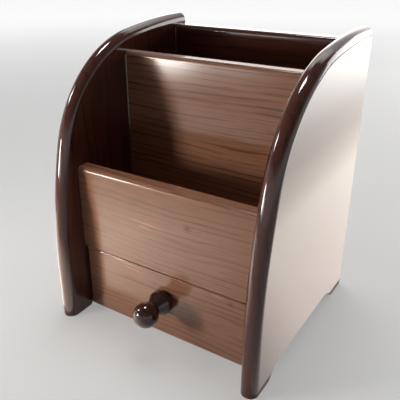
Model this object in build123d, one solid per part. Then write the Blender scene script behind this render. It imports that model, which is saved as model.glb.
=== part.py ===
from build123d import *
import math
import os

# Desk pen stand of wooden boards: two tall side panels with a swept front edge carry four cross boards,
# which make an open front pocket, a taller rear pocket and, underneath, a bay for one drawer.
# Millimetres. X runs across, -Y is the front, +Z is up, and Z = 0 is the table.

# ---- overall sizes ----
WIDTH = 140.0  # outer face to outer face of the side panels
DEPTH = 131.5  # a side panel from its front edge to its back edge
HEIGHT = 174.5  # a side panel from the table to its highest point

# ---- side panels ----
SIDE_THICK = 10.0
FRONT_UPRIGHT = 33.5  # straight part of the front edge above the table
FRONT_TURN = 14.9  # degrees that the long front arc turns through
SHOULDER_R = 78.5
SHOULDER_TURN = 65.4  # degrees
NOSE_LAND = 0.2  # flat left between the two roundings of the nosed edge
FOOT_LENGTH = 17.5  # flat under each foot
FOOT_SWEEP = 16.5  # length of the curve from a foot up into the arch
ARCH_HEIGHT = 7.8

# ---- cross boards ----
CROSS_THICK = 10.0
CROSS_EASE = 2.2  # rounding of the top arrises
SEAM_EASE = 0.5  # rounding of the front panel's lower front arris
FRONT_SETBACK = 17.2  # front panel behind the side panels' front edges
FRONT_PANEL_HEIGHT = 53.0
SHELF_RISE = 45.3  # underside of the shelf and of the front panel above the table
DIVIDER_SETBACK = 65.8
DIVIDER_DROP = 16.9  # top of the divider below the top of the side panels
BACK_DROP = 6.4
BACK_SETBACK = 2.0  # back panel in from the side panels' back edges
BOTTOM_THICK = 5.0
BOTTOM_COVER = 3.2  # wood left between the arch and the groove for the bottom panel
BOTTOM_GROOVE = 3.0  # depth of that groove

# ---- loose tenons between the cross boards and the side panels ----
TENON_THICK = 3.6
TENON_WIDTH = 14.0
TENON_LENGTH = 18.0
TENON_IN_SIDE = 6.5
TENON_MARGIN = 7.0  # outermost tenon from the edge of its board
TENON_FIT = 0.03  # gap round a tenon
TENON_END_GAP = 0.4

# ---- drawer ----
DRAWER_SETBACK = 17.8  # drawer front behind the side panels' front edges
DRAWER_FLOOR_GAP = 2.2  # drawer front above the table
SEAM_GAP = 0.8  # drawer front below the front panel
DRAWER_SIDE_GAP = 1.3  # drawer to side panel
DRAWER_REAR_GAP = 2.0  # drawer to back panel
RUN_GAP = 0.3  # drawer to what it slides on and stops against
DRAWER_FRONT_THICK = 10.0
DRAWER_FRONT_EASE = 0.8
DRAWER_SIDE_THICK = 6.0
DRAWER_SIDE_HEIGHT = 25.0
DRAWER_BACK_THICK = 6.0
REBATE_DEPTH = 6.0  # into the back of the drawer front, at its ends
HOUSING_DEPTH = 2.0  # groove in a drawer side that holds the drawer back
HOUSING_INSET = 3.0  # that groove from the drawer side's rear end
SHEET_THICK = 3.0  # drawer bottom
SHEET_RISE = 2.2  # its groove above the drawer side's lower edge
SHEET_GROOVE = 3.0  # depth of the grooves that hold it
SHEET_FIT = 0.1  # gap on each face of the sheet
SHEET_END_GAP = 0.3  # gap at the bottom of its grooves

# ---- knob ----
KNOB_HEIGHT = 26.8  # knob axis above the table
KNOB_BALL_R = 7.4
KNOB_REACH = 17.4  # centre of the ball from the drawer front
KNOB_FOOT_R = 7.4  # fullest band of the foot
KNOB_RIM_R = 6.4  # foot where it meets the drawer front
KNOB_RIM_RISE = 2.0  # flare from the rim to the fullest band
KNOB_BAND = 2.8
KNOB_TAPER = 5.6  # from the fullest band to the neck
KNOB_NECK_R = 4.1

# ---- knob screw ----
SCREW_R = 1.5
SCREW_HEAD_R = 3.0
SCREW_LENGTH = 22.0
SCREW_POINT = 3.0
SCREW_SLOT_LENGTH = 3.6
SCREW_SLOT_WIDTH = 0.8
SCREW_SLOT_DEPTH = 0.7
SCREW_FIT = 0.04

# ---- pins: T-headed brads of flat wire ----
PIN_WIDTH = 1.25
PIN_THICK = 1.0
PIN_HEAD_WIDTH = 2.1
PIN_HEAD_THICK = 0.6
PIN_POINT = 1.5
PIN_LENGTH = 14.0
SHEET_PIN_LENGTH = 12.0
PIN_MARGIN = 7.0  # pin from the edge of the board that it holds
PIN_RISE = 3.5  # lowest pin above the groove for the sheet
PIN_FIT = 0.03

# ---- places that follow from the sizes ----
KNOB_OVERHANG = KNOB_REACH + KNOB_BALL_R - DRAWER_SETBACK
SIDE_FRONT = (KNOB_OVERHANG - DEPTH) / 2
SIDE_BACK = SIDE_FRONT + DEPTH
INNER_X = WIDTH / 2 - SIDE_THICK

FRONT_FACE = SIDE_FRONT + FRONT_SETBACK
FRONT_PANEL_BACK = FRONT_FACE + CROSS_THICK
DIVIDER_FRONT = SIDE_FRONT + DIVIDER_SETBACK
BACK_PANEL_FRONT = SIDE_BACK - BACK_SETBACK - CROSS_THICK
SHELF_TOP = SHELF_RISE + CROSS_THICK
BOTTOM_UNDER = ARCH_HEIGHT + BOTTOM_COVER
BOTTOM_TOP = BOTTOM_UNDER + BOTTOM_THICK

DRAWER_FACE = SIDE_FRONT + DRAWER_SETBACK
DRAWER_FRONT_BACK = DRAWER_FACE + DRAWER_FRONT_THICK
DRAWER_TOP = SHELF_RISE - SEAM_GAP
DRAWER_X = INNER_X - DRAWER_SIDE_GAP
DRAWER_INNER_X = DRAWER_X - DRAWER_SIDE_THICK
DRAWER_UNDER = BOTTOM_TOP + RUN_GAP
DRAWER_SIDE_TOP = DRAWER_UNDER + DRAWER_SIDE_HEIGHT
DRAWER_SIDE_FRONT = DRAWER_FRONT_BACK - REBATE_DEPTH
DRAWER_REAR = BACK_PANEL_FRONT - DRAWER_REAR_GAP
DRAWER_BACK_REAR = DRAWER_REAR - HOUSING_INSET
DRAWER_BACK_FRONT = DRAWER_BACK_REAR - DRAWER_BACK_THICK
SHEET_UNDER = DRAWER_UNDER + SHEET_RISE + SHEET_FIT
SHEET_TOP = SHEET_UNDER + SHEET_THICK
SHEET_GROOVE_TOP = SHEET_TOP + SHEET_FIT
BOTTOM_FRONT = DRAWER_FRONT_BACK + RUN_GAP


def block(x0, x1, y0, y1, z0, z1):
    """A square block between two corners."""
    return Pos((x0 + x1) / 2, (y0 + y1) / 2, (z0 + z1) / 2) * Box(x1 - x0, y1 - y0, z1 - z0)


def eased(board, radius, *places):
    """Round the board's edges along X that pass through the given (y, z) places."""
    def is_near(edge):
        middle = edge.center()
        return any(math.hypot(middle.Y - y, middle.Z - z) < 1e-3 for y, z in places)

    return fillet([edge for edge in board.edges().filter_by(Axis.X) if is_near(edge)], radius)


# ---- tenons and where they go ----
def spread(first, last, count):
    """Evenly spaced places from the first to the last."""
    return [first + (last - first) * step / (count - 1) for step in range(count)]


def upright_places(board_front, low, high, count):
    """(y, z, size along y, size along z) of the tenons in an upright cross board."""
    middle = board_front + CROSS_THICK / 2
    inset = TENON_MARGIN + TENON_WIDTH / 2
    return [(middle, z, TENON_THICK, TENON_WIDTH) for z in spread(low + inset, high - inset, count)]


def shelf_places():
    """(y, z, size along y, size along z) of the tenons in the shelf."""
    middle = SHELF_RISE + CROSS_THICK / 2
    inset = TENON_MARGIN + TENON_WIDTH / 2
    ends = (FRONT_PANEL_BACK + inset, BACK_PANEL_FRONT - inset)
    return [(y, middle, TENON_WIDTH, TENON_THICK) for y in spread(*ends, 2)]


BACK_TENONS = upright_places(BACK_PANEL_FRONT, BOTTOM_UNDER, HEIGHT - BACK_DROP, 3)
DIVIDER_TENONS = upright_places(DIVIDER_FRONT, SHELF_TOP, HEIGHT - DIVIDER_DROP, 3)
FRONT_TENONS = upright_places(FRONT_FACE, SHELF_RISE, SHELF_RISE + FRONT_PANEL_HEIGHT, 2)
SHELF_TENONS = shelf_places()


def tenon(place, gap, end_gap):
    """A loose tenon across the right-hand joint at the given place, grown by the gaps."""
    y, z, y_size, z_size = place
    outer = INNER_X + TENON_IN_SIDE
    ends = (outer - TENON_LENGTH - end_gap, outer + end_gap)
    across = (y - y_size / 2 - gap, y + y_size / 2 + gap)
    up = (z - z_size / 2 - gap, z + z_size / 2 + gap)
    return block(*ends, *across, *up)


def tenon_group(places):
    """The tenons at both ends of one cross board."""
    right = [tenon(place, 0, 0) for place in places]
    return Compound(right + [mirror(one, about=Plane.YZ) for one in right])


def mortised(board, places):
    """Cut the mortises for tenons into a side panel, or into both ends of a cross board."""
    for place in places:
        mortise = tenon(place, TENON_FIT, TENON_END_GAP)
        board = board - mortise - mirror(mortise, about=Plane.YZ)
    return board


# ---- carcass ----
def sweep_radii():
    """Radii of the front arc and the crown arc that bring the sweep level at the top of the back edge.

    The three arcs are tangent, so their rises add up to the height above the upright and their runs to
    the depth, which gives two equations, linear in the two radii.
    """
    before, after = math.radians(FRONT_TURN), math.radians(FRONT_TURN + SHOULDER_TURN)
    rise = HEIGHT - FRONT_UPRIGHT - SHOULDER_R * (math.sin(after) - math.sin(before))
    run = DEPTH - SHOULDER_R * (math.cos(before) - math.cos(after))
    front_rise, front_run = math.sin(before), 1 - math.cos(before)
    crown_rise, crown_run = 1 - math.sin(after), math.cos(after)
    scale = front_rise * crown_run - crown_rise * front_run
    front_radius = (rise * crown_run - run * crown_rise) / scale
    crown_radius = (run * front_rise - rise * front_run) / scale
    return front_radius, crown_radius


def swept_edge():
    """Front and top edge of a side panel in (y, z): an upright line, then three tangent arcs."""
    front_radius, crown_radius = sweep_radii()
    upright = Line((SIDE_FRONT, 0), (SIDE_FRONT, FRONT_UPRIGHT))
    front = JernArc(upright @ 1, upright % 1, front_radius, -FRONT_TURN)
    shoulder = JernArc(front @ 1, front % 1, SHOULDER_R, -SHOULDER_TURN)
    crown = JernArc(shoulder @ 1, shoulder % 1, crown_radius, FRONT_TURN + SHOULDER_TURN - 90)
    return upright + front + shoulder + crown


def foot_arch():
    """Lower edge between the feet of a side panel in (y, z), from the back foot to the front foot."""
    radius = (FOOT_SWEEP**2 + ARCH_HEIGHT**2) / (2 * ARCH_HEIGHT)
    back_foot = (SIDE_BACK - FOOT_LENGTH, 0)
    back_spring = (back_foot[0] - FOOT_SWEEP, ARCH_HEIGHT)
    front_foot = (SIDE_FRONT + FOOT_LENGTH, 0)
    front_spring = (front_foot[0] + FOOT_SWEEP, ARCH_HEIGHT)
    rise = RadiusArc(back_foot, back_spring, -radius)
    fall = RadiusArc(front_spring, front_foot, -radius)
    return rise + Line(back_spring, front_spring) + fall


def side_blank():
    """Right side panel before its joints are cut: swept, nosed and arched."""
    sweep = swept_edge()
    outline = sweep + Line((SIDE_BACK, HEIGHT), (SIDE_BACK, 0))
    outline += Line((SIDE_BACK, 0), (SIDE_BACK - FOOT_LENGTH, 0)) + foot_arch()
    outline += Line((SIDE_FRONT + FOOT_LENGTH, 0), (SIDE_FRONT, 0))
    panel = extrude(Plane.YZ.offset(INNER_X) * make_face(outline), SIDE_THICK)
    sweep_middles = [edge @ 0.5 for edge in sweep.edges()]

    def on_sweep(edge):
        middle = edge @ 0.5
        return any(math.hypot(middle.Y - place.X, middle.Z - place.Y) < 1e-3 for place in sweep_middles)

    return fillet(panel.edges().filter_by(on_sweep), (SIDE_THICK - NOSE_LAND) / 2)


def side_panel_right():
    """Right side panel with its mortises and the groove for the bottom panel."""
    panel = side_blank()
    panel = mortised(panel, BACK_TENONS + DIVIDER_TENONS + FRONT_TENONS + SHELF_TENONS)
    groove = (BOTTOM_FRONT, BACK_PANEL_FRONT, BOTTOM_UNDER, BOTTOM_TOP)
    return panel - block(INNER_X, INNER_X + BOTTOM_GROOVE, *groove)


def upright_board(board_front, low, high):
    """A cross board on edge between the side panels, its top arrises eased."""
    board = block(-INNER_X, INNER_X, board_front, board_front + CROSS_THICK, low, high)
    return eased(board, CROSS_EASE, (board_front, high), (board_front + CROSS_THICK, high))


def back_panel():
    """Tallest cross board, behind the rear pocket and the drawer bay."""
    return mortised(upright_board(BACK_PANEL_FRONT, BOTTOM_UNDER, HEIGHT - BACK_DROP), BACK_TENONS)


def divider():
    """Cross board that stands on the shelf between the two pockets."""
    return mortised(upright_board(DIVIDER_FRONT, SHELF_TOP, HEIGHT - DIVIDER_DROP), DIVIDER_TENONS)


def front_panel():
    """Low cross board before the front pocket, its lower edge over the drawer."""
    board = upright_board(FRONT_FACE, SHELF_RISE, SHELF_RISE + FRONT_PANEL_HEIGHT)
    board = eased(board, SEAM_EASE, (FRONT_FACE, SHELF_RISE))
    return mortised(board, FRONT_TENONS)


def shelf():
    """Floor of both pockets and roof of the drawer bay."""
    board = block(-INNER_X, INNER_X, FRONT_PANEL_BACK, BACK_PANEL_FRONT, SHELF_RISE, SHELF_TOP)
    return mortised(board, SHELF_TENONS)


def bottom_panel():
    """Thin board in the side panels' grooves, on which the drawer slides."""
    reach = INNER_X + BOTTOM_GROOVE
    return block(-reach, reach, BOTTOM_FRONT, BACK_PANEL_FRONT, BOTTOM_UNDER, BOTTOM_TOP)


# ---- drawer ----
def knob_axis(y):
    """Frame on the knob's axis at the given depth, its Z towards the front."""
    return Plane(origin=(0, y, KNOB_HEIGHT), x_dir=(1, 0, 0), z_dir=(0, -1, 0))


def pin_body(length, gap):
    """A T-headed brad along -Z, grown by the gap, the top of its head at the origin."""
    head = PIN_HEAD_WIDTH / 2 + gap
    shank = PIN_WIDTH / 2 + gap
    neck = -PIN_HEAD_THICK - gap
    shoulder = PIN_POINT - length
    outline = Polyline(
        (-head, gap),
        (head, gap),
        (head, neck),
        (shank, neck),
        (shank, shoulder),
        (0, -length - gap),
        (-shank, shoulder),
        (-shank, neck),
        (-head, neck),
        close=True,
    )
    return extrude(Plane.XZ * make_face(outline), PIN_THICK / 2 + gap, both=True)


def side_pin_frames(y):
    """Frames of the pins through both drawer sides at depth y, their Z outwards."""
    heights = (SHEET_GROOVE_TOP + PIN_RISE, DRAWER_SIDE_TOP - PIN_MARGIN)
    places = [(side, z) for side in (1, -1) for z in heights]
    return [Plane(origin=(s * DRAWER_X, y, z), x_dir=(0, 0, 1), z_dir=(s, 0, 0)) for s, z in places]


def sheet_pin_frames():
    """Frames of the pins up through the sheet into the drawer back, their Z downwards."""
    y = (DRAWER_BACK_FRONT + DRAWER_BACK_REAR) / 2
    reach = DRAWER_INNER_X - 2 * PIN_MARGIN
    places = [(x, y, SHEET_UNDER) for x in spread(-reach, reach, 3)]
    return [Plane(origin=place, x_dir=(1, 0, 0), z_dir=(0, 0, -1)) for place in places]


FRONT_PIN_FRAMES = side_pin_frames((DRAWER_SIDE_FRONT + DRAWER_FRONT_BACK) / 2)
BACK_PIN_FRAMES = side_pin_frames((DRAWER_BACK_FRONT + DRAWER_BACK_REAR) / 2)
SHEET_PIN_FRAMES = sheet_pin_frames()


def pinned(board, frames, length):
    """Pierce a board for the pins at the given frames."""
    for frame in frames:
        board = board - frame * pin_body(length, PIN_FIT)
    return board


def pin_group(frames, length):
    """The pins at the given frames."""
    return Compound([frame * pin_body(length, 0) for frame in frames])


def drawer_front():
    """Face of the drawer, rebated at its ends, grooved for the sheet and bored for the knob screw."""
    board = block(-DRAWER_X, DRAWER_X, DRAWER_FACE, DRAWER_FRONT_BACK, DRAWER_FLOOR_GAP, DRAWER_TOP)
    front_edges = board.faces().sort_by(Axis.Y)[0].edges()
    board = fillet(front_edges, DRAWER_FRONT_EASE)
    rebate = block(DRAWER_INNER_X, DRAWER_X, DRAWER_SIDE_FRONT, DRAWER_FRONT_BACK, DRAWER_UNDER, DRAWER_TOP)
    board = board - rebate - mirror(rebate, about=Plane.YZ)
    groove_front = DRAWER_FRONT_BACK - SHEET_GROOVE
    groove_under = SHEET_UNDER - SHEET_FIT
    reach = DRAWER_INNER_X
    board -= block(-reach, reach, groove_front, DRAWER_FRONT_BACK, groove_under, SHEET_GROOVE_TOP)
    board -= knob_axis(DRAWER_FRONT_BACK) * screw_hole()
    return pinned(board, FRONT_PIN_FRAMES, PIN_LENGTH)


def drawer_side_right():
    """Right side of the drawer, grooved for the sheet and housed for the drawer back."""
    ends = (DRAWER_SIDE_FRONT, DRAWER_REAR)
    board = block(DRAWER_INNER_X, DRAWER_X, *ends, DRAWER_UNDER, DRAWER_SIDE_TOP)
    groove = (SHEET_UNDER - SHEET_FIT, SHEET_GROOVE_TOP)
    board -= block(DRAWER_INNER_X, DRAWER_INNER_X + SHEET_GROOVE, *ends, *groove)
    housing = (DRAWER_BACK_FRONT, DRAWER_BACK_REAR, SHEET_GROOVE_TOP, DRAWER_SIDE_TOP)
    board -= block(DRAWER_INNER_X, DRAWER_INNER_X + HOUSING_DEPTH, *housing)
    board = pinned(board, FRONT_PIN_FRAMES, PIN_LENGTH)
    return pinned(board, BACK_PIN_FRAMES, PIN_LENGTH)


def drawer_back():
    """Back of the drawer, held in the sides' housings above the sheet."""
    reach = DRAWER_INNER_X + HOUSING_DEPTH
    height = (SHEET_GROOVE_TOP, DRAWER_SIDE_TOP)
    board = block(-reach, reach, DRAWER_BACK_FRONT, DRAWER_BACK_REAR, *height)
    board = pinned(board, BACK_PIN_FRAMES, PIN_LENGTH)
    return pinned(board, SHEET_PIN_FRAMES, SHEET_PIN_LENGTH)


def drawer_bottom():
    """Thin sheet slid into the grooves from behind, under the drawer back."""
    reach = DRAWER_INNER_X + SHEET_GROOVE - SHEET_END_GAP
    front = DRAWER_FRONT_BACK - SHEET_GROOVE + SHEET_END_GAP
    sheet = block(-reach, reach, front, DRAWER_BACK_REAR, SHEET_UNDER, SHEET_TOP)
    return pinned(sheet, SHEET_PIN_FRAMES, SHEET_PIN_LENGTH)


# ---- knob and its screw, on a Z that points out of the drawer ----
def knob():
    """Turned knob: a foot that flares from its rim to a full band and tapers to the neck, and a ball."""
    band_start = KNOB_RIM_RISE
    band_end = band_start + KNOB_BAND
    neck_start = band_end + KNOB_TAPER
    ball_start = KNOB_REACH - math.sqrt(KNOB_BALL_R**2 - KNOB_NECK_R**2)
    foot = Polyline(
        (0, 0),
        (KNOB_RIM_R, 0),
        (KNOB_FOOT_R, band_start),
        (KNOB_FOOT_R, band_end),
        (KNOB_NECK_R, neck_start),
        (KNOB_NECK_R, ball_start),
    )
    ball = ThreePointArc(foot @ 1, (KNOB_BALL_R, KNOB_REACH), (0, KNOB_REACH + KNOB_BALL_R))
    turned = revolve(Plane.XZ * make_face(foot + ball + Line(ball @ 1, (0, 0))), Axis.Z)
    bored = turned - Pos(0, 0, -DRAWER_FRONT_THICK) * screw_hole()
    return knob_axis(DRAWER_FACE) * bored


def screw_body(gap):
    """Countersunk wood screw from the back of the drawer front into the knob, grown by the gap."""
    head_depth = SCREW_HEAD_R - SCREW_R
    straight = SCREW_LENGTH - SCREW_POINT
    outline = Polyline(
        (0, -gap),
        (SCREW_HEAD_R + gap, -gap),
        (SCREW_R + gap, head_depth),
        (SCREW_R + gap, straight),
        (0, SCREW_LENGTH + gap),
        close=True,
    )
    return revolve(Plane.XZ * make_face(outline), Axis.Z)


def screw_hole():
    """What the screw takes up in the wood."""
    return screw_body(SCREW_FIT)


def knob_screw():
    """The screw with its cross slot, its head flush with the back of the drawer front."""
    slot = Pos(0, 0, SCREW_SLOT_DEPTH / 2) * Box(SCREW_SLOT_LENGTH, SCREW_SLOT_WIDTH, SCREW_SLOT_DEPTH)
    screw = screw_body(0) - slot - Rot(0, 0, 90) * slot
    return knob_axis(DRAWER_FRONT_BACK) * screw


def build_parts():
    """Every piece by name."""
    side = side_panel_right()
    drawer_side = drawer_side_right()
    return {
        "side_panel_right": side,
        "side_panel_left": mirror(side, about=Plane.YZ),
        "back_panel": back_panel(),
        "divider": divider(),
        "front_panel": front_panel(),
        "shelf": shelf(),
        "bottom_panel": bottom_panel(),
        "back_panel_tenons": tenon_group(BACK_TENONS),
        "divider_tenons": tenon_group(DIVIDER_TENONS),
        "front_panel_tenons": tenon_group(FRONT_TENONS),
        "shelf_tenons": tenon_group(SHELF_TENONS),
        "drawer_front": drawer_front(),
        "drawer_side_right": drawer_side,
        "drawer_side_left": mirror(drawer_side, about=Plane.YZ),
        "drawer_back": drawer_back(),
        "drawer_bottom": drawer_bottom(),
        "drawer_knob": knob(),
        "knob_screw": knob_screw(),
        "drawer_front_pins": pin_group(FRONT_PIN_FRAMES, PIN_LENGTH),
        "drawer_back_pins": pin_group(BACK_PIN_FRAMES, PIN_LENGTH),
        "drawer_bottom_pins": pin_group(SHEET_PIN_FRAMES, SHEET_PIN_LENGTH),
    }


os.makedirs("parts", exist_ok=True)
for name, part in build_parts().items():
    export_step(part, f"parts/{name}.step")
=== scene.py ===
"""Looks of a desk pen stand with one drawer: lacquered wooden boards, a turned knob and a plain studio.

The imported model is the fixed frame. Its boards get wood finishes whose grain follows each board, and the
joints between the boards get the fine beads of lacquer that settle there.
"""
import logging
import math
from dataclasses import dataclass, field
from enum import Enum

import bpy
from mathutils import Matrix, Vector


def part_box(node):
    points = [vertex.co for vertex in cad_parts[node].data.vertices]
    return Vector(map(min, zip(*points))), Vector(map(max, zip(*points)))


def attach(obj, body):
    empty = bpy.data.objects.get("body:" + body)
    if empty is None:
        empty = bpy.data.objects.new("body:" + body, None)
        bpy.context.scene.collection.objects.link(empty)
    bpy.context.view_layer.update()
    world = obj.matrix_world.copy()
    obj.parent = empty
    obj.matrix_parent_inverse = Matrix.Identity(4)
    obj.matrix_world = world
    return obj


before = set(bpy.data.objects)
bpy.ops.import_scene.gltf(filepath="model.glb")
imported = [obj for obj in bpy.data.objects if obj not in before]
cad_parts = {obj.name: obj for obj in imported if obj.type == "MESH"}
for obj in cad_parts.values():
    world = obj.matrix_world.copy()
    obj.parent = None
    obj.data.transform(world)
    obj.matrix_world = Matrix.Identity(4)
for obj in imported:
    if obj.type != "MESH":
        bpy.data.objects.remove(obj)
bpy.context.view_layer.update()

MM = 0.001
log = logging.getLogger("pen_stand")

Triple = tuple[float, float, float]
Rgb = Triple  # a linear colour
Span = tuple[float, float]
Socket = bpy.types.NodeSocket


# ---------------------------------------------------------------------------------------------
# Shader trees
# ---------------------------------------------------------------------------------------------
class Grain(Enum):
    """Axis that the wood's fibres run along, with the order that puts that axis first."""

    ALONG_X = ("X", "Y", "Z")
    ALONG_Y = ("Y", "X", "Z")
    ALONG_Z = ("Z", "X", "Y")


class ShaderTree:
    """A material's node tree, with one short method for each kind of node that the finishes use."""

    def __init__(self, name: str, world: bpy.types.World | None = None) -> None:
        """Start an empty material, or empty a world.

        Args:
            name: The material's name.
            world: A world to shade in place of a new material.
        """
        self.material = world or bpy.data.materials.new(name)
        self.material.use_nodes = True
        self.tree = self.material.node_tree
        self.tree.nodes.clear()
        self.output = self.tree.nodes.new("ShaderNodeOutputWorld" if world else "ShaderNodeOutputMaterial")

    def node(self, kind: str, **settings: object) -> bpy.types.Node:
        """Add a node.

        Args:
            kind: The node's type.
            **settings: Attributes to set on it.

        Returns:
            The new node.
        """
        made = self.tree.nodes.new(kind)
        for key, value in settings.items():
            setattr(made, key, value)
        return made

    def feed(self, socket: Socket, value: object) -> None:
        """Link an output to a socket, or set the socket to a plain value.

        Args:
            socket: The input to feed.
            value: An output socket or a value.
        """
        if isinstance(value, Socket):
            self.tree.links.new(value, socket)
        else:
            socket.default_value = value

    def math(self, operation: str, first: object, second: object = 0.0, clamp: bool = False) -> Socket:
        """One arithmetic step.

        Args:
            operation: The Math node's operation.
            first: Left value or socket.
            second: Right value or socket.
            clamp: Whether the result is kept between 0 and 1.

        Returns:
            The result's socket.
        """
        made = self.node("ShaderNodeMath", operation=operation, use_clamp=clamp)
        self.feed(made.inputs[0], first)
        self.feed(made.inputs[1], second)
        return made.outputs[0]

    def swing(self, value: Socket, weight: float) -> Socket:
        """Move a value between 0 and 1 to swing about zero.

        Args:
            value: The value's socket.
            weight: Width of the swing.

        Returns:
            The result's socket.
        """
        return self.math("MULTIPLY", self.math("SUBTRACT", value, 0.5), weight)

    def ease(
        self, value: object, low: float, high: float, to_low: object = 0.0, to_high: object = 1.0
    ) -> Socket:
        """Map a value smoothly from one range to another.

        Args:
            value: The value or socket to map.
            low: Where the result starts to leave to_low.
            high: Where the result reaches to_high.
            to_low: Result, or its socket, at and below low.
            to_high: Result, or its socket, at and above high.

        Returns:
            The result's socket.
        """
        made = self.node("ShaderNodeMapRange", interpolation_type="SMOOTHSTEP")
        for socket, number in zip(made.inputs, (value, low, high, to_low, to_high)):
            self.feed(socket, number)
        return made.outputs[0]

    def noise(self, vector: Socket, detail: float, roughness: float) -> Socket:
        """Fractal noise with one feature for each unit of the vector.

        Args:
            vector: The place's socket.
            detail: Octaves of detail.
            roughness: Weight of the finer octaves.

        Returns:
            The noise factor's socket.
        """
        made = self.node("ShaderNodeTexNoise", noise_dimensions="3D")
        self.feed(made.inputs["Vector"], vector)
        for name, value in (("Scale", 1.0), ("Detail", detail), ("Roughness", roughness)):
            made.inputs[name].default_value = value
        return made.outputs["Fac"]

    def ramp(self, value: object, stops: tuple[tuple[float, Rgb], ...]) -> Socket:
        """Colour by value.

        Args:
            value: The value's socket.
            stops: Positions with their linear colours.

        Returns:
            The colour's socket.
        """
        made = self.node("ShaderNodeValToRGB")
        ramp = made.color_ramp
        while len(ramp.elements) < len(stops):
            ramp.elements.new(0.5)
        for element, (position, colour) in zip(ramp.elements, stops):
            element.position = position
            element.color = (*colour, 1.0)
        self.feed(made.inputs[0], value)
        return made.outputs[0]

    def mix(self, factor: object, first: object, second: object) -> Socket:
        """Mix two colours.

        Args:
            factor: Share of the second colour.
            first: Colour or socket.
            second: Colour or socket.

        Returns:
            The mixed colour's socket.
        """
        made = self.node("ShaderNodeMix", data_type="RGBA")
        self.feed(made.inputs[0], factor)
        for socket, colour in ((made.inputs[6], first), (made.inputs[7], second)):
            self.feed(socket, (*colour, 1.0) if isinstance(colour, tuple) else colour)
        return made.outputs[2]

    def seen(self) -> Socket:
        """Tell the rays that look at things from those that only carry light to them.

        Returns:
            A socket that is 1 for rays from the camera, from gloss and through clear things, and else 0.
        """
        path = self.node("ShaderNodeLightPath")
        gloss = self.math("MAXIMUM", path.outputs["Is Glossy Ray"], path.outputs["Is Transmission Ray"])
        return self.math("MAXIMUM", path.outputs["Is Camera Ray"], gloss)

    def bump(self, height: Socket, depth_mm: float) -> Socket:
        """Surface relief.

        Args:
            height: Height socket, from 0 to 1.
            depth_mm: Millimetres between heights 0 and 1.

        Returns:
            The bent normal's socket.
        """
        made = self.node("ShaderNodeBump")
        made.inputs["Strength"].default_value = 1.0
        made.inputs["Distance"].default_value = depth_mm * MM
        self.feed(made.inputs["Height"], height)
        return made.outputs[0]


@dataclass(frozen=True)
class Pattern:
    """Noise that is stretched along the fibres.

    Attributes:
        length: Feature length along the fibres in millimetres.
        width: Feature width across them in millimetres.
        lift: Offset that sets it apart from the other patterns.
        detail: Octaves of detail.
        roughness: Weight of the finer octaves.
    """

    length: float
    width: float
    lift: float = 0.0
    detail: float = 2.0
    roughness: float = 0.5


class GrainPlace:
    """Place on a board in millimetres, read as along the fibres and across them in two directions."""

    def __init__(self, shader: ShaderTree, grain: Grain, drift: Triple = (0.0, 0.0, 0.0)) -> None:
        """Split the object's own coordinates.

        Args:
            shader: The tree to add to.
            grain: The fibres' axis.
            drift: Offset that gives each board its own stretch of wood.
        """
        self.shader = shader
        coordinates = shader.node("ShaderNodeTexCoord")
        scaled = shader.node("ShaderNodeMapping", vector_type="POINT")
        scaled.inputs["Scale"].default_value = (1 / MM,) * 3
        shader.feed(scaled.inputs["Vector"], coordinates.outputs["Object"])
        split = shader.node("ShaderNodeSeparateXYZ")
        shader.feed(split.inputs[0], scaled.outputs[0])
        self.along, self.side, self.rise = (split.outputs[axis] for axis in grain.value)
        self.drift = Vector(drift)

    def noise(self, pattern: Pattern, rise: Socket | None = None) -> Socket:
        """Lay a noise pattern along the board.

        Args:
            pattern: The pattern.
            rise: Another socket in place of the board's own rise.

        Returns:
            The noise factor's socket.
        """
        shader = self.shader
        vector = shader.node("ShaderNodeCombineXYZ")
        parts = (self.along, self.side, rise or self.rise)
        sizes = (pattern.length, pattern.width, pattern.width)
        for socket, part, size, offset in zip(vector.inputs, parts, sizes, self.drift):
            scaled = shader.math("DIVIDE", part, size)
            shader.feed(socket, shader.math("ADD", scaled, offset + pattern.lift))
        return shader.noise(vector.outputs[0], pattern.detail, pattern.roughness)


# ---------------------------------------------------------------------------------------------
# Patterns in the finishes
# ---------------------------------------------------------------------------------------------
FIBRES = Pattern(48.0, 0.85, 3.0, detail=3.0, roughness=0.6)
BANDS = Pattern(150.0, 7.0, 9.0)
PORES = Pattern(20.0, 0.42, 5.0)
RING_SWAY = Pattern(90.0, 40.0, detail=1.0)
RING_TREMBLE = Pattern(14.0, 6.0, 7.0)
RING_PRESENCE = Pattern(70.0, 3.2, 13.0)
KNOT_FRAY = Pattern(1.4, 1.4)
BLOTCHES = Pattern(34.0, 12.0, 21.0)
LACQUER_SWELL = Pattern(26.0, 7.0, 31.0, roughness=0.4)
LACQUER_RUN = Pattern(9.0, 0.8)
DRAWING_MARKS = Pattern(3.0, 0.12, detail=3.0)
PLATING_CLOUD = Pattern(2.0, 1.6, 4.0)

FIBRE_WEIGHT = 1.25  # how far the fibres swing the wood's tone
BAND_WEIGHT = 0.75
MIDDLE_TONE = 0.42  # tone that has the middle colour
PORE_EDGE: Span = (0.56, 0.74)  # noise between which a pore sets in

RING_LEAN = 0.42  # rise of the rings for each millimetre into the board
RING_TREMBLE_SHARE = 0.12  # of the wander
RING_DARKENS: Span = (0.30, 0.92)  # share of a ring's width over which it turns dark
RING_EDGE = 3.0  # power that draws the dark part together at the ring's end
RING_SHOWS: Span = (0.34, 0.64)  # presence between which a ring goes from faint to full

GLINT_FLECK_GAIN = 1.9  # paleness of a glint fleck, a painted highlight streak, is the early wood's times this
GLINT_FLECK_LIFT = 0.03  # and raised by this

FIBRE_HEIGHT = 0.3  # of the fibres over the wood, where a pore is 1 deep
FIBRE_DULLING = 0.12  # how far the fibres swing the roughness
BLOTCH_DULLING = 0.14


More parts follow.
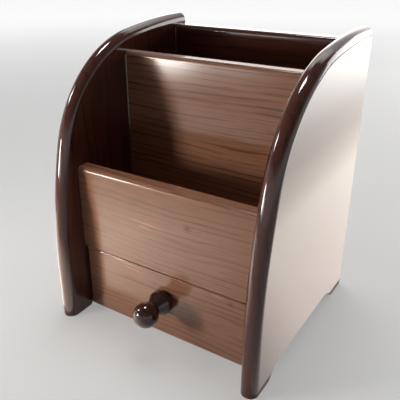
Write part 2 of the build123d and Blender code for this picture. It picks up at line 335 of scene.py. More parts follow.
# ---------------------------------------------------------------------------------------------
# Finishes
# ---------------------------------------------------------------------------------------------
@dataclass(frozen=True)
class Stain:
    """Linear colours of a wood.

    Attributes:
        light: The early wood.
        middle: Between the two.
        dark: The late wood.
        pore: The pores and knots.
    """

    light: Rgb
    middle: Rgb
    dark: Rgb
    pore: Rgb


DARK_STAIN = Stain((0.112, 0.034, 0.022), (0.072, 0.021, 0.014), (0.028, 0.009, 0.006), (0.008, 0.003, 0.002))
BROWN_STAIN = Stain(
    (0.345, 0.162, 0.096), (0.245, 0.104, 0.058), (0.092, 0.033, 0.017), (0.065, 0.022, 0.012)
)
KNOB_STAIN = Stain((0.070, 0.024, 0.015), (0.038, 0.013, 0.008), (0.014, 0.005, 0.004), (0.006, 0.002, 0.002))
PLAIN_WOOD = Stain((0.46, 0.31, 0.18), (0.38, 0.24, 0.135), (0.24, 0.135, 0.07), (0.20, 0.11, 0.055))
BEECH = Stain((0.60, 0.42, 0.25), (0.52, 0.35, 0.20), (0.40, 0.25, 0.13), (0.30, 0.17, 0.08))
PLY = Stain((0.56, 0.40, 0.24), (0.49, 0.33, 0.19), (0.36, 0.22, 0.12), (0.28, 0.17, 0.09))


@dataclass(frozen=True)
class Knot:
    """A pin knot in a board's face: a dark core in a paler halo.

    Attributes:
        along: Place along the fibres in millimetres.
        rise: Place across them in millimetres.
        radius: Radius of the core in millimetres.
        heart: Radius of its darkest part, as a share of the core's.
        core_share: How dark the core is, from 0 to 1.
        halo: Radius of the halo, as a share of the core's.
        halo_share: How dark the halo is, from 0 to 1.
        squash: Share to which distances along the fibres count.
        fray: How far the outline frays, in millimetres.
    """

    along: float
    rise: float
    radius: float
    heart: float = 0.35
    core_share: float = 0.75
    halo: float = 3.2
    halo_share: float = 0.3
    squash: float = 0.8
    fray: float = 1.2

    def mask(self, shader: ShaderTree, place: GrainPlace) -> Socket:
        """Where the knot darkens the wood.

        Args:
            shader: The tree to add to.
            place: Places on the board.

        Returns:
            The mask's socket.
        """
        along = shader.math("MULTIPLY", shader.math("SUBTRACT", place.along, self.along), self.squash)
        rise = shader.math("SUBTRACT", place.rise, self.rise)
        squared = shader.math("ADD", shader.math("POWER", along, 2.0), shader.math("POWER", rise, 2.0))
        distance = shader.math("SQRT", squared)
        frayed = shader.math("ADD", distance, shader.swing(place.noise(KNOT_FRAY), self.fray))
        core = shader.ease(frayed, self.heart * self.radius, self.radius, self.core_share, 0.0)
        halo = shader.ease(frayed, self.radius, self.halo * self.radius, self.halo_share, 0.0)
        return shader.math("MAXIMUM", core, halo)


@dataclass(frozen=True)
class GlintFleck:
    """A pale streak along the fibres: a painted highlight, a thin line of reflected light laid into the
    wood's colour as a silky fleck.

    Attributes:
        start: Where it starts along the fibres, in millimetres.
        end: Where it ends.
        rise: Place across the fibres at its start.
        slope: Rise for each millimetre along.
        edge: Millimetres from its middle line between which it fades out.
        share: How strongly it shows, from 0 to 1.
    """

    start: float
    end: float
    rise: float
    slope: float = 0.0
    edge: Span = (0.08, 0.42)
    share: float = 0.85

    def mask(self, shader: ShaderTree, place: GrainPlace) -> Socket:
        """Where the painted highlight streak lightens the wood.

        Args:
            shader: The tree to add to.
            place: Places on the board.

        Returns:
            The mask's socket.
        """
        climb = shader.math("MULTIPLY", shader.math("SUBTRACT", place.along, self.start), self.slope)
        line = shader.math("ADD", climb, self.rise)
        off = shader.math("ABSOLUTE", shader.math("SUBTRACT", place.rise, line))
        thin = shader.ease(off, *self.edge, 1.0, 0.0)
        quarter = (self.end - self.start) / 4
        come = shader.ease(place.along, self.start, self.start + quarter)
        go = shader.ease(place.along, self.end - 2 * quarter, self.end, 1.0, 0.0)
        mask = shader.math("MULTIPLY", shader.math("MULTIPLY", come, go), thin)
        return shader.math("MULTIPLY", mask, self.share)


@dataclass(frozen=True)
class WoodFinish:
    """Wood with growth rings, fibres and pores under stain and lacquer.

    Attributes:
        name: The material's name.
        grain: Axis of the fibres.
        stain: Colours of the wood.
        ring: Mean width of a growth ring in millimetres.
        wander: How far the rings wander, in millimetres.
        ring_share: How strongly the rings show, from 0 to 1.
        pore_share: How strongly the pores show, from 0 to 1.
        roughness: Roughness of the stained wood.
        coat: Weight of the lacquer.
        coat_roughness: Roughness of the lacquer.
        under_gloss: Gloss of the wood under the lacquer, where 0.5 is that of bare varnish.
        relief: Depth of the pores in millimetres.
        ripple: Depth of the waviness in the lacquer in millimetres.
        drift: Which stretch of wood the board was cut from.
        knots: Pin knots in the face.
        flecks: Painted highlight streaks in the face, laid in as pale flecks.
    """

    name: str
    grain: Grain
    stain: Stain
    ring: float = 3.6
    wander: float = 5.0
    ring_share: float = 0.9
    pore_share: float = 0.55
    roughness: float = 0.45
    coat: float = 1.0
    coat_roughness: float = 0.165
    under_gloss: float = 0.0
    relief: float = 0.02
    ripple: float = 0.004
    drift: Triple = (0.0, 0.0, 0.0)
    knots: tuple[Knot, ...] = ()
    flecks: tuple[GlintFleck, ...] = ()

    def material(self) -> bpy.types.Material:
        """Build the material.

        Returns:
            The finished material.
        """
        shader = ShaderTree(self.name)
        place = GrainPlace(shader, self.grain, self.drift)
        rise = self._wandering_rise(shader, place)
        rings = self._rings(shader, place, rise)
        fibres = place.noise(FIBRES, rise)
        bands = place.noise(BANDS, rise)
        pores = shader.ease(place.noise(PORES, rise), *PORE_EDGE)
        tone = shader.math("MULTIPLY", rings, self.ring_share)
        tone = shader.math("ADD", tone, shader.swing(fibres, FIBRE_WEIGHT))
        tone = shader.math("ADD", tone, shader.swing(bands, BAND_WEIGHT), clamp=True)
        stops = ((0.0, self.stain.light), (MIDDLE_TONE, self.stain.middle), (1.0, self.stain.dark))
        colour = shader.ramp(tone, stops)
        colour = shader.mix(shader.math("MULTIPLY", pores, self.pore_share), colour, self.stain.pore)
        colour = self._knots_and_glints(shader, place, colour)
        self._surface(shader, place, colour, fibres, pores)
        return shader.material

    def _wandering_rise(self, shader: ShaderTree, place: GrainPlace) -> Socket:
        """Bend the place across the fibres so that the rings wander and thicken as they do in a board.

        Args:
            shader: The tree to add to.
            place: Places on the board.

        Returns:
            The bent place's socket.
        """
        sway = shader.swing(place.noise(RING_SWAY), 2 * self.wander)
        tremble = shader.swing(place.noise(RING_TREMBLE), RING_TREMBLE_SHARE * self.wander)
        curved = shader.math("ADD", place.rise, shader.math("MULTIPLY", place.side, RING_LEAN))
        return shader.math("ADD", curved, shader.math("ADD", sway, tremble))

    def _rings(self, shader: ShaderTree, place: GrainPlace, rise: Socket) -> Socket:
        """Growth rings: each darkens slowly, then ends at a sharp line, and some are faint.

        Args:
            shader: The tree to add to.
            place: Places on the board.
            rise: Bent place across the fibres.

        Returns:
            The socket of how dark the rings are.
        """
        turns = shader.math("DIVIDE", rise, self.ring)
        phase = shader.math("FRACT", shader.math("ADD", turns, self.drift[2]))
        late = shader.ease(phase, *RING_DARKENS)
        end = shader.ease(phase, RING_DARKENS[1], 1.0, 1.0, 0.0)
        presence = shader.ease(place.noise(RING_PRESENCE, rise), *RING_SHOWS)
        ring = shader.math("MULTIPLY", shader.math("POWER", late, RING_EDGE), end)
        return shader.math("MULTIPLY", ring, presence)

    def _knots_and_glints(self, shader: ShaderTree, place: GrainPlace, colour: Socket) -> Socket:
        """Lay the dark knots and the painted highlight streaks over a colour.

        Args:
            shader: The tree to add to.
            place: Places on the board.
            colour: The wood's colour.

        Returns:
            The marked colour's socket.
        """
        for knot in self.knots:
            colour = shader.mix(knot.mask(shader, place), colour, self.stain.pore)
        # pale is the colour of the painted highlight streaks: the early wood made lighter
        pale = tuple(min(1.0, GLINT_FLECK_GAIN * channel + GLINT_FLECK_LIFT) for channel in self.stain.light)
        for fleck in self.flecks:
            colour = shader.mix(fleck.mask(shader, place), colour, pale)
        return colour

    def _surface(
        self, shader: ShaderTree, place: GrainPlace, colour: Socket, fibres: Socket, pores: Socket
    ) -> None:
        """Wire the stained wood and the lacquer on it to the output.

        Args:
            shader: The tree to add to.
            place: Places on the board.
            colour: The wood's colour.
            fibres: The fibre pattern.
            pores: The pore mask.
        """
        surface = shader.node("ShaderNodeBsdfPrincipled")
        shader.feed(surface.inputs["Base Color"], colour)
        fibre_swing = shader.swing(fibres, FIBRE_DULLING)
        blotch_swing = shader.swing(place.noise(BLOTCHES), BLOTCH_DULLING)
        dulling = shader.math("ADD", fibre_swing, blotch_swing)
        shader.feed(surface.inputs["Roughness"], shader.math("ADD", dulling, self.roughness, clamp=True))
        height = shader.math("SUBTRACT", shader.math("MULTIPLY", fibres, FIBRE_HEIGHT), pores)
        shader.feed(surface.inputs["Normal"], shader.bump(height, self.relief))
        surface.inputs["Specular IOR Level"].default_value = self.under_gloss
        surface.inputs["Coat Weight"].default_value = self.coat
        surface.inputs["Coat Roughness"].default_value = self.coat_roughness
        swell = place.noise(LACQUER_SWELL)
        shader.feed(surface.inputs["Coat Normal"], shader.bump(swell, self.ripple))
        shader.feed(shader.output.inputs["Surface"], surface.outputs[0])


@dataclass(frozen=True)
class SteelFinish:
    """Zinc-plated steel with fine drawing marks.

    Attributes:
        name: The material's name.
        colour: Linear colour of the plating.
        cloudy: Share of that colour where the plating is cloudy.
        roughness: Mean roughness.
        roughness_swing: How far the marks swing it.
        relief: Depth of the marks in millimetres.
    """

    name: str
    colour: Rgb = (0.56, 0.56, 0.58)
    cloudy: float = 0.72
    roughness: float = 0.32
    roughness_swing: float = 0.3
    relief: float = 0.004

    def material(self) -> bpy.types.Material:
        """Build the material.

        Returns:
            The finished material.
        """
        shader = ShaderTree(self.name)
        place = GrainPlace(shader, Grain.ALONG_Y)
        marks = place.noise(DRAWING_MARKS)
        cloud = place.noise(PLATING_CLOUD)
        dull = tuple(self.cloudy * channel for channel in self.colour)
        surface = shader.node("ShaderNodeBsdfPrincipled")
        surface.inputs["Metallic"].default_value = 1.0
        shader.feed(surface.inputs["Base Color"], shader.mix(cloud, self.colour, dull))
        swing = shader.swing(marks, self.roughness_swing)
        shader.feed(surface.inputs["Roughness"], shader.math("ADD", swing, self.roughness, clamp=True))
        shader.feed(surface.inputs["Normal"], shader.bump(marks, self.relief))
        shader.feed(shader.output.inputs["Surface"], surface.outputs[0])
        return shader.material


@dataclass(frozen=True)
class ClearLacquer:
    """Thin lacquer that has settled in a joint, tinted by the stain under it.

    Attributes:
        name: The material's name.
        tint: Linear colour of the stained lacquer.
        deep: Share of that colour where the lacquer is thick.
        edge: Noise between which it goes from thick to thin.
        roughness: Roughness where it is thick and where it is thin.
        coat_roughness: Roughness of its skin.
        relief: Depth of its runs in millimetres.
    """

    name: str
    tint: Rgb = (0.11, 0.05, 0.03)
    deep: float = 0.55
    edge: Span = (0.2, 0.8)
    roughness: Span = (0.12, 0.3)
    coat_roughness: float = 0.05
    relief: float = 0.02

    def material(self) -> bpy.types.Material:
        """Build the material.

        Returns:
            The finished material.
        """
        shader = ShaderTree(self.name)
        run = GrainPlace(shader, Grain.ALONG_Z).noise(LACQUER_RUN)
        thick = tuple(self.deep * channel for channel in self.tint)
        surface = shader.node("ShaderNodeBsdfPrincipled")
        shader.feed(surface.inputs["Base Color"], shader.mix(run, thick, self.tint))
        shader.feed(surface.inputs["Roughness"], shader.ease(run, *self.edge, *self.roughness))
        surface.inputs["Coat Weight"].default_value = 1.0
        surface.inputs["Coat Roughness"].default_value = self.coat_roughness
        shader.feed(surface.inputs["Normal"], shader.bump(run, self.relief))
        shader.feed(shader.output.inputs["Surface"], surface.outputs[0])
        return shader.material


def dark_finish(name: str, grain: Grain, drift: Triple) -> WoodFinish:
    """Dark stain under gloss lacquer, for a side panel or the back panel.

    Args:
        name: The material's name.
        grain: Axis of the fibres.
        drift: Which stretch of wood the panel was cut from.

    Returns:
        The finish.
    """
    return WoodFinish(
        name, grain, DARK_STAIN, ring=6.5, wander=9.0, ring_share=0.5, pore_share=0.4, roughness=0.35,
        coat_roughness=0.07, relief=0.012, ripple=0.006, drift=drift,
    )


def board_finish(name: str, drift: Triple, **changes: object) -> WoodFinish:
    """Mid-brown stain under satin lacquer, fibres across, for a cross board or the drawer front.

    Args:
        name: The material's name.
        drift: Which stretch of wood the board was cut from.
        **changes: Fields that differ from the plain board's.

    Returns:
        The finish.
    """
    return WoodFinish(name, Grain.ALONG_X, BROWN_STAIN, drift=drift, **changes)


# ---------------------------------------------------------------------------------------------
# Dressing and modelling helpers
# ---------------------------------------------------------------------------------------------
def dress(node: str, material: bpy.types.Material) -> None:
    """Give a CAD node its finish.

    Args:
        node: The node's name.
        material: The finish's material.
    """
    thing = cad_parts[node]
    thing.data.materials.clear()
    thing.data.materials.append(material)
    log.info("dressed %s in %s", node, material.name)


def deselect_all() -> None:
    """Leave nothing selected and no object active."""
    bpy.ops.object.select_all(action="DESELECT")
    bpy.context.view_layer.objects.active = None


@dataclass
class LacquerBead:
    """The slim cove of lacquer along an upright inside corner.

    Attributes:
        name: The piece's name.
        corner: The corner line's foot in metres.
        toward_x: +1 or -1, the way the cove opens along X.
        toward_y: +1 or -1, the way it opens along Y.
        height: Length of the bead in metres.
        size: Width of the bead in metres.
        hollow: Share of that width that the hollow takes.
        segments: Flats round the hollow.
        profile: Shape of the hollow, where 0.5 is round and less curves inwards.
        smooth_below: Degrees between two flats under which they shade as one.
    """

    name: str
    corner: Vector
    toward_x: int
    toward_y: int
    height: float
    size: float = 0.7 * MM
    hollow: float = 0.92
    segments: int = 5
    profile: float = 0.12
    smooth_below: float = 40.0

    def build(self, material: bpy.types.Material, body: str) -> None:
        """Model the bead: a square strip whose open edge is bevelled to a hollow.

        Args:
            material: The bead's finish.
            body: The CAD body that it rides on.
        """
        deselect_all()
        half = self.size / 2
        middle = self.corner + Vector((self.toward_x * half, self.toward_y * half, self.height / 2))
        bpy.ops.mesh.primitive_cube_add(size=1.0, location=middle, scale=(self.size, self.size, self.height))
        bead = bpy.context.active_object
        bead.name = self.name
        bpy.ops.object.transform_apply(location=True, rotation=True, scale=True)
        self._select_open_edge(bead)
        bpy.ops.object.mode_set(mode="EDIT")
        bpy.ops.mesh.select_mode(type="EDGE")
        bpy.ops.mesh.bevel(
            offset=self.hollow * self.size, segments=self.segments, profile=self.profile, affect="EDGES"
        )
        bpy.ops.object.mode_set(mode="OBJECT")
        bpy.ops.object.shade_smooth_by_angle(angle=math.radians(self.smooth_below))
        bead.data.materials.append(material)
        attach(bead, body)
        log.info("made %s, %.1f mm long", self.name, self.height / MM)

    def _select_open_edge(self, bead: bpy.types.Object) -> None:
        """Select only the upright edge that faces the room.

        Args:
            bead: The square strip.
        """
        bpy.ops.object.mode_set(mode="EDIT")
        bpy.ops.mesh.select_all(action="DESELECT")
        bpy.ops.object.mode_set(mode="OBJECT")
        open_x = self.corner.x + self.toward_x * self.size
        open_y = self.corner.y + self.toward_y * self.size
        near = MM / 1000
        for edge in bead.data.edges:
            ends = [bead.data.vertices[index].co for index in edge.vertices]
            edge.select = all(abs(end.x - open_x) < near and abs(end.y - open_y) < near for end in ends)


# ---------------------------------------------------------------------------------------------
# The pen stand
# ---------------------------------------------------------------------------------------------
@dataclass
class Carcass:
    """Side panels, cross boards and the tenons that join them.

    Attributes:
        body: The CAD body that it is.
        sides: Drift of each side panel's wood.
        back: Drift of the back panel's wood.
        boards: Drift of each plain cross board's wood.
        bead_end: How far under a board's top its beads end, in metres, clear of the eased arris.
    """

    body: str = "carcass"
    sides: dict[str, Triple] = field(
        default_factory=lambda: {"side_panel_left": (0.0, 2.0, 0.15), "side_panel_right": (3.1, 7.0, 0.62)}
    )
    back: Triple = (1.0, 4.0, 0.3)
    boards: dict[str, Triple] = field(
        default_factory=lambda: {
            "divider": (5.0, 3.9, 0.75),
            "shelf": (8.0, 3.0, 0.5),
            "bottom_panel": (2.0, 9.0, 0.1),
        }
    )
    bead_end: float = 2.3 * MM

    def dress_dark(self) -> None:
        """Dress the side panels and the back panel in dark gloss lacquer."""
        for node, drift in self.sides.items():
            dress(node, dark_finish(f"{node}_lacquer", Grain.ALONG_Z, drift).material())
        dress("back_panel", dark_finish("back_panel_lacquer", Grain.ALONG_X, self.back).material())

    def dress_boards(self) -> None:
        """Dress the cross boards in their own stretches of brown wood."""
        for node, drift in self.boards.items():
            dress(node, board_finish(f"{node}_wood", drift).material())
        front = board_finish(
            "front_panel_wood", (6.4, 2.2, 0.45), ring_share=0.55,
            knots=(Knot(17.1, 79.2, 1.1),),
            # painted highlights: two thin streaks of reflected light along the grain, painted into the wood's
            # colour
            flecks=(GlintFleck(-24.0, 5.0, 75.0, -0.06), GlintFleck(-17.0, -5.0, 72.4, -0.13)),
        )
        dress("front_panel", front.material())

    def dress_tenons(self) -> None:
        """Dress the loose tenons in bare beech."""
        beech = WoodFinish(
            "beech", Grain.ALONG_X, BEECH, ring=1.6, wander=1.0, ring_share=0.4, pore_share=0.35,
            roughness=0.62, coat=0.0,
        ).material()
        for board in ("back_panel", "divider", "front_panel", "shelf"):
            dress(f"{board}_tenons", beech)

    def build_beads(self) -> None:
        """Run a bead of lacquer down each upright inside corner that is open to view."""
        lacquer = ClearLacquer("joint_lacquer").material()
        shelf_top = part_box("shelf")[1].z
        faces = (("back_panel", -1), ("divider", -1), ("divider", 1), ("front_panel", 1))
        for board, toward_y in faces:
            low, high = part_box(board)
            foot = max(low.z, shelf_top)
            height = high.z - self.bead_end - foot
            face_y = low.y if toward_y < 0 else high.y
            way = "front" if toward_y < 0 else "back"
            for side, x, toward_x in (("left", low.x, 1), ("right", high.x, -1)):
                corner = Vector((x, face_y, foot))
                bead = LacquerBead(f"{board}_{way}_bead_{side}", corner, toward_x, toward_y, height)
                bead.build(lacquer, self.body)

    def build(self) -> None:
        """Dress and model the whole carcass."""
        self.dress_dark()
        self.dress_boards()
        self.dress_tenons()
        self.build_beads()


class Drawer:
    """The drawer box, its front, its pins, and its turned knob."""

    def dress_front(self) -> None:
        """Dress the drawer front like the board over it."""
        front = board_finish(
            "drawer_front_wood", (7.7, 5.1, 0.88), ring_share=0.6,
            knots=(Knot(44.6, 40.6, 0.8),),
            # painted highlights: streaks of reflected light along the drawer front's upper edge, at the seam
            # under the board above
            flecks=(
                GlintFleck(-66.0, -24.0, 44.2), GlintFleck(-40.0, -6.0, 43.2, -0.03), GlintFleck(-30.0, -12.0, 40.6, -0.05),
                GlintFleck(32.0, 42.0, 43.0, -0.04),
            ),
        )
        dress("drawer_front", front.material())

    def dress_box(self) -> None:
        """Dress the drawer's sides, back and bottom in plain wood and ply."""
        boards = {
            "drawer_side_left": (Grain.ALONG_Y, (0.0, 0.0, 0.0)),
            "drawer_side_right": (Grain.ALONG_Y, (1.3, 2.7, 0.31)),
            "drawer_back": (Grain.ALONG_X, (2.6, 5.4, 0.62)),
        }
        for node, (grain, drift) in boards.items():
            finish = WoodFinish(
                f"{node}_wood", grain, PLAIN_WOOD, ring=3.4, wander=3.0, ring_share=0.55, pore_share=0.4,
                roughness=0.55, coat=0.12, coat_roughness=0.4, drift=drift,
            )
            dress(node, finish.material())
        ply = WoodFinish(
            "ply", Grain.ALONG_X, PLY, ring=9.0, wander=16.0, ring_share=0.6, pore_share=0.35,
            roughness=0.6, coat=0.0,
        )
        dress("drawer_bottom", ply.material())

    def dress_knob(self) -> None:
        """Dress the knob in dark gloss lacquer, its fibres along its axis."""
        knob = WoodFinish(
            "knob_lacquer", Grain.ALONG_Y, KNOB_STAIN, ring=2.6, wander=1.5, ring_share=0.6, pore_share=0.4,
            roughness=0.3, coat_roughness=0.04, relief=0.006, ripple=0.002,
        )
        dress("drawer_knob", knob.material())

    def dress_metal(self) -> None:
        """Dress the screw and the pins in zinc-plated steel."""
        steel = SteelFinish("plated_steel").material()
        for node in ("knob_screw", "drawer_front_pins", "drawer_back_pins", "drawer_bottom_pins"):
            dress(node, steel)

    def build(self) -> None:
        """Dress the whole drawer."""
        self.dress_front()
        self.dress_box()
        self.dress_knob()
        self.dress_metal()


# ---------------------------------------------------------------------------------------------
# The studio
# ---------------------------------------------------------------------------------------------
class Reach(Enum):
    """What a lamp shows in."""

    ALL = "light and gloss"
    LIGHT = "light alone"
    GLOSS = "gloss alone"


@dataclass(frozen=True)
class SoftLamp:
    """An area lamp aimed at the pen stand.

    Attributes:
        name: The lamp's name.
        place: Its middle in metres.
        size: Width and height of the lamp in metres.
        radiance: How bright its face is.
        colour: Its linear colour.
        facing_up: Whether it lies flat and faces up.
        reach: Whether it lights the scene, shows in gloss, or both.
    """

    name: str
    place: Triple
    size: Span
    radiance: float
    colour: Rgb = (1.0, 1.0, 1.0)
    facing_up: bool = False
    reach: Reach = Reach.ALL

    def build(self, aim: Vector) -> None:
        """Hang the lamp.

        Args:
            aim: The place that it faces.
        """
        data = bpy.data.lights.new(self.name, "AREA")
        data.shape = "RECTANGLE"
        data.size, data.size_y = self.size
        data.energy = self.radiance * math.pi * self.size[0] * self.size[1]
        data.color = self.colour
        lamp = bpy.data.objects.new(self.name, data)
        lamp.location = self.place
        away = Vector((0.0, 0.0, -1.0)) if self.facing_up else Vector(self.place) - aim
        lamp.rotation_euler = away.to_track_quat("Z", "Y").to_euler()
        lamp.visible_camera = False
        lamp.visible_diffuse = self.reach is not Reach.GLOSS
        lamp.visible_glossy = self.reach is not Reach.LIGHT
        bpy.context.scene.collection.objects.link(lamp)


@dataclass(frozen=True)
class SheenCard:
    """A glow that shows only in gloss, as a bright stretch of table or wall does.

    Attributes:
        name: The card's name.
        middle: Its middle in metres.
        size: Width and length in metres.
        turn: Rotation about X, Y and Z in degrees, from lying flat with its length along Y.
        radiance: How bright it is where its run is 1.
        run: Colour along its length as (place from 0 to 1, share of the radiance in red, green and blue).
        near: Share of the width over which its left edge fades.
        far: Share of the width over which its right edge fades.
        slant: Degrees by which that right edge leans inwards.
    """

    name: str
    middle: Triple
    size: Span
    turn: Triple
    radiance: float
    run: tuple[tuple[float, Rgb], ...]
    near: float = 0.0
    far: float = 0.0
    slant: float = 0.0

    def build(self) -> None:
        """Set the card up, out of sight of everything but gloss."""
        deselect_all()
        turn = tuple(math.radians(angle) for angle in self.turn)
        bpy.ops.mesh.primitive_plane_add(size=1.0, location=self.middle, rotation=turn)
        card = bpy.context.active_object
        card.name = self.name
        card.scale = (*self.size, 1.0)
        bpy.ops.object.transform_apply(location=True, rotation=True, scale=True)
        card.data.materials.append(self._glow())
        card.visible_camera = False
        card.visible_diffuse = False
        card.visible_transmission = False
        card.visible_shadow = False

    def _glow(self) -> bpy.types.Material:
        """A see-through glow that fades to the card's long edges.

        Returns:
            The glow's material.
        """
        shader = ShaderTree(f"{self.name}_glow")
        split = shader.node("ShaderNodeSeparateXYZ")
        shader.feed(split.inputs[0], shader.node("ShaderNodeUVMap").outputs[0])
        across, along = split.outputs["X"], split.outputs["Y"]
        near = shader.ease(across, 0.0, self.near) if self.near else 1.0
        step = math.tan(math.radians(self.slant)) * self.size[1] / self.size[0]
        leaning = shader.math("ADD", across, shader.math("MULTIPLY", along, step))
        far = shader.ease(leaning, 1.0 - self.far, 1.0, 1.0, 0.0) if self.far else 1.0
        glow = shader.node("ShaderNodeEmission")
        shader.feed(glow.inputs["Color"], shader.ramp(along, self.run))
        strength = shader.math("MULTIPLY", shader.math("MULTIPLY", near, far), self.radiance)
        shader.feed(glow.inputs["Strength"], strength)
        both = shader.node("ShaderNodeAddShader")
        shader.feed(both.inputs[0], glow.outputs[0])
        shader.feed(both.inputs[1], shader.node("ShaderNodeBsdfTransparent").outputs[0])
        shader.feed(shader.output.inputs["Surface"], both.outputs[0])
        return shader.material


NONE: Rgb = (0.0, 0.0, 0.0)
WHITE: Rgb = (1.0, 1.0, 1.0)
DUSKY: Rgb = (0.44, 0.38, 0.34)
SUNNY: Rgb = (1.0, 0.89, 0.75)
JUST_OVER_TABLE = 0.001

LAMPS = (
    SoftLamp("low_window", (-0.300, -0.370, 0.119), (0.07, 0.11), 47.0, (1.0, 0.96, 0.90)),
    SoftLamp(
        "table_fill", (-0.160, -0.145, JUST_OVER_TABLE), (0.17, 0.15), 2.3, facing_up=True, reach=Reach.LIGHT
    ),
    SoftLamp("left_glint", (-0.93, -0.42, 0.70), (0.20, 0.20), 30.0, reach=Reach.GLOSS),
    SoftLamp("left_fill", (-0.93, -0.36, 0.77), (0.40, 0.40), 2.5, reach=Reach.LIGHT),
    SoftLamp("top_glint", (-0.24, 0.13, 1.23), (0.26, 0.26), 32.0, reach=Reach.GLOSS),
    SoftLamp("top_fill", (-0.12, 0.29, 1.23), (0.50, 0.50), 7.5, reach=Reach.LIGHT),
    SoftLamp("rear_lamp", (0.50, 1.00, 0.35), (0.50, 0.50), 5.0),
)

CARDS = (
    SheenCard(
        "table_right", (0.3105, 0.670, JUST_OVER_TABLE), (1.56, 0.479), (0.0, 0.0, -90.0), 3.9,
        near=0.2, far=0.085, slant=45.0,
        run=(
            (0.0, DUSKY), (0.05, (0.55, 0.48, 0.43)), (0.1, (0.66, 0.59, 0.53)), (0.14, (0.71, 0.65, 0.58)),
            (0.175, (0.57, 0.51, 0.45)), (0.24, (0.43, 0.38, 0.34)), (0.31, (0.48, 0.44, 0.40)),
            (0.43, (0.78, 0.74, 0.70)), (0.6, (1.1, 1.08, 1.05)), (0.8, (1.1, 1.1, 1.1)), (1.0, NONE),
        ),
    ),
    SheenCard(
        "table_behind", (-0.0895, 0.7625, JUST_OVER_TABLE), (1.375, 0.321), (0.0, 0.0, -90.0), 3.9,
        near=0.2, run=((0.0, NONE), (0.5, (0.14, 0.12, 0.11)), (1.0, DUSKY)),
    ),
    SheenCard(
        "table_left", (-0.135, -0.145, JUST_OVER_TABLE), (0.16, 0.31), (0.0, 0.0, 90.0), 3.0, near=0.65,
        run=(
            (0.0, NONE), (0.09, (0.25, 0.22, 0.18)), (0.28, (0.7, 0.62, 0.52)),
            (0.4, SUNNY), (0.85, SUNNY), (1.0, NONE),
        ),
    ),
    SheenCard(
        "table_beside", (-0.1825, -0.0025, JUST_OVER_TABLE), (0.125, 0.215), (0.0, 0.0, 90.0), 3.0, far=1.0,
        run=((0.0, (0.76, 0.68, 0.57)), (0.13, SUNNY), (0.78, SUNNY), (1.0, NONE)),
    ),
    SheenCard(
        "window_side", (-0.205, -0.365, 0.095), (0.17, 0.07), (90.0, 0.0, 0.0), 6.5, near=0.3, far=0.3,
        run=((0.0, NONE), (0.4, WHITE), (0.6, WHITE), (1.0, NONE)),
    ),
    SheenCard(
        "back_wall", (-0.20, 0.95, 0.87), (1.7, 1.70), (90.0, 0.0, 0.0), 2.7, near=0.2, far=0.2,
        run=(
            (0.0, (0.2, 0.19, 0.18)), (0.1, (1.0, 0.92, 0.85)), (0.24, (0.9, 0.83, 0.77)),
            (0.34, (0.4, 0.4, 0.4)), (0.43, (0.3, 0.3, 0.3)), (0.54, (0.6, 0.6, 0.6)),
            (0.64, (0.85, 0.85, 0.85)), (0.8, (0.9, 0.9, 0.9)), (1.0, (0.2, 0.2, 0.2)),
        ),
    ),
)


@dataclass
class Camera:
    """The camera that took the photograph, as fitted to its square frame.

    Attributes:
        place: Position in metres.
        azimuth: Azimuth in degrees.
        elevation: Elevation in degrees.
        roll: Roll in degrees.
        frame_pixels: Width and height of the frame.
        focal_pixels: Focal length in pixels of that frame.
        centre_pixels: Principal point in that frame.
        sensor_mm: Width of the sensor that stands for it.
        clip_start: Nearest distance that shows, in metres.
    """

    place: Triple = (0.15709, -0.25319, 0.21322)
    azimuth: float = 32.38
    elevation: float = 25.06
    roll: float = 0.22
    frame_pixels: int = 400
    focal_pixels: float = 533.94
    centre_pixels: Span = (199.8, 200.5)
    sensor_mm: float = 36.0
    clip_start: float = 0.01

    def build(self) -> None:
        """Set the camera up where the photograph was taken."""
        turn, lift, roll = (math.radians(angle) for angle in (self.azimuth, self.elevation, self.roll))
        back = Vector((math.sin(turn) * math.cos(lift), -math.cos(turn) * math.cos(lift), math.sin(lift)))
        level = Vector((math.cos(turn), math.sin(turn), 0.0))
        upright = back.cross(level)
        right = level * math.cos(roll) + upright * math.sin(roll)
        up = upright * math.cos(roll) - level * math.sin(roll)
        data = bpy.data.cameras.new("camera")
        data.sensor_width = self.sensor_mm
        data.lens = self.focal_pixels / self.frame_pixels * self.sensor_mm
        data.shift_x = (self.frame_pixels / 2 - self.centre_pixels[0]) / self.frame_pixels
        data.shift_y = (self.centre_pixels[1] - self.frame_pixels / 2) / self.frame_pixels
        data.clip_start = self.clip_start
        camera = bpy.data.objects.new("camera", data)
        turned = Matrix((right, up, back)).transposed().to_4x4()
        camera.matrix_world = Matrix.Translation(self.place) @ turned
        bpy.context.scene.collection.objects.link(camera)
        bpy.context.scene.camera = camera


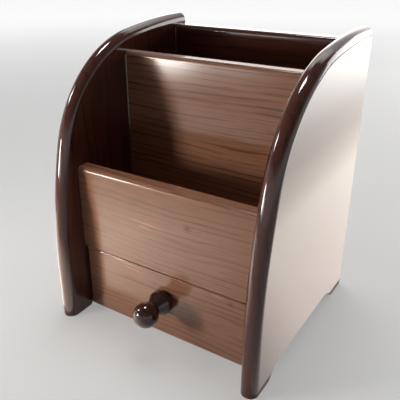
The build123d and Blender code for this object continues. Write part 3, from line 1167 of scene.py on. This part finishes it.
@dataclass
class Studio:
    """Pale floor, white backdrop, soft light and the camera.

    Attributes:
        floor_colour: Linear colour of the floor.
        floor_radius: Radius of the floor in metres.
        floor_corners: Corners of its outline.
        floor_roughness: Roughness of the floor.
        floor_gloss: Gloss of the floor, where 0.5 is that of bare varnish.
        fade: Distances in metres over which the floor fades to white.
        fade_glow: Its own paleness at those distances, which lights nothing.
        world_colour: Linear colour of the backdrop and the even light.
        world_strength: Strength of the even light all round.
        ceiling: How bright the ceiling looks over the white backdrop.
        ceiling_edge: Sine of the heights between which the backdrop turns into the ceiling.
        aim: The place that the lamps face, in metres.
    """

    floor_colour: Rgb = (0.52, 0.52, 0.515)
    floor_radius: float = 8.0
    floor_corners: int = 96
    floor_roughness: float = 0.9
    floor_gloss: float = 0.1
    fade: Span = (0.3, 1.8)
    fade_glow: Span = (0.3, 0.9)
    world_colour: Rgb = (0.98, 0.99, 1.0)
    world_strength: float = 0.06
    ceiling: float = 0.15
    ceiling_edge: Span = (0.15, 0.5)
    aim: Triple = (-0.02, -0.04, 0.08)

    def build_floor(self) -> None:
        """Lay the floor, whose paleness rises to the backdrop's white far from the pen stand."""
        deselect_all()
        bpy.ops.mesh.primitive_circle_add(
            vertices=self.floor_corners, radius=self.floor_radius, fill_type="NGON"
        )
        floor = bpy.context.active_object
        floor.name = "floor"
        shader = ShaderTree("pale_floor")
        surface = shader.node("ShaderNodeBsdfPrincipled")
        surface.inputs["Base Color"].default_value = (*self.floor_colour, 1.0)
        surface.inputs["Roughness"].default_value = self.floor_roughness
        surface.inputs["Specular IOR Level"].default_value = self.floor_gloss
        surface.inputs["Emission Color"].default_value = (*WHITE, 1.0)
        distance = shader.node("ShaderNodeVectorMath", operation="LENGTH")
        shader.feed(distance.inputs[0], shader.node("ShaderNodeTexCoord").outputs["Object"])
        far = shader.ease(distance.outputs["Value"], *self.fade, *self.fade_glow)
        shader.feed(surface.inputs["Emission Strength"], shader.math("MULTIPLY", far, shader.seen()))
        shader.feed(shader.output.inputs["Surface"], surface.outputs[0])
        floor.data.materials.append(shader.material)

    def build_world(self) -> None:
        """Surround the scene with a backdrop that looks white and lights the scene only faintly."""
        world = bpy.data.worlds.new("soft_room")
        shader = ShaderTree(world.name, world)
        background = shader.node("ShaderNodeBackground")
        background.inputs["Color"].default_value = (*self.world_colour, 1.0)
        split = shader.node("ShaderNodeSeparateXYZ")
        shader.feed(split.inputs[0], shader.node("ShaderNodeTexCoord").outputs["Generated"])
        backdrop = shader.ease(split.outputs["Z"], *self.ceiling_edge, 1.0, self.ceiling)
        strength = shader.ease(shader.seen(), 0.0, 1.0, self.world_strength, backdrop)
        shader.feed(background.inputs["Strength"], strength)
        shader.feed(shader.output.inputs["Surface"], background.outputs[0])
        bpy.context.scene.world = world

    def build(self) -> None:
        """Set up floor, backdrop, lamps, cards, camera and view."""
        self.build_floor()
        self.build_world()
        for lamp in LAMPS:
            lamp.build(Vector(self.aim))
        for card in CARDS:
            card.build()
        Camera().build()
        bpy.context.scene.view_settings.view_transform = "Standard"


def main() -> None:
    """Build the pen stand and its studio."""
    logging.basicConfig(level=logging.INFO, format="%(message)s")
    Carcass().build()
    Drawer().build()
    Studio().build()


if __name__ == "__main__":
    main()
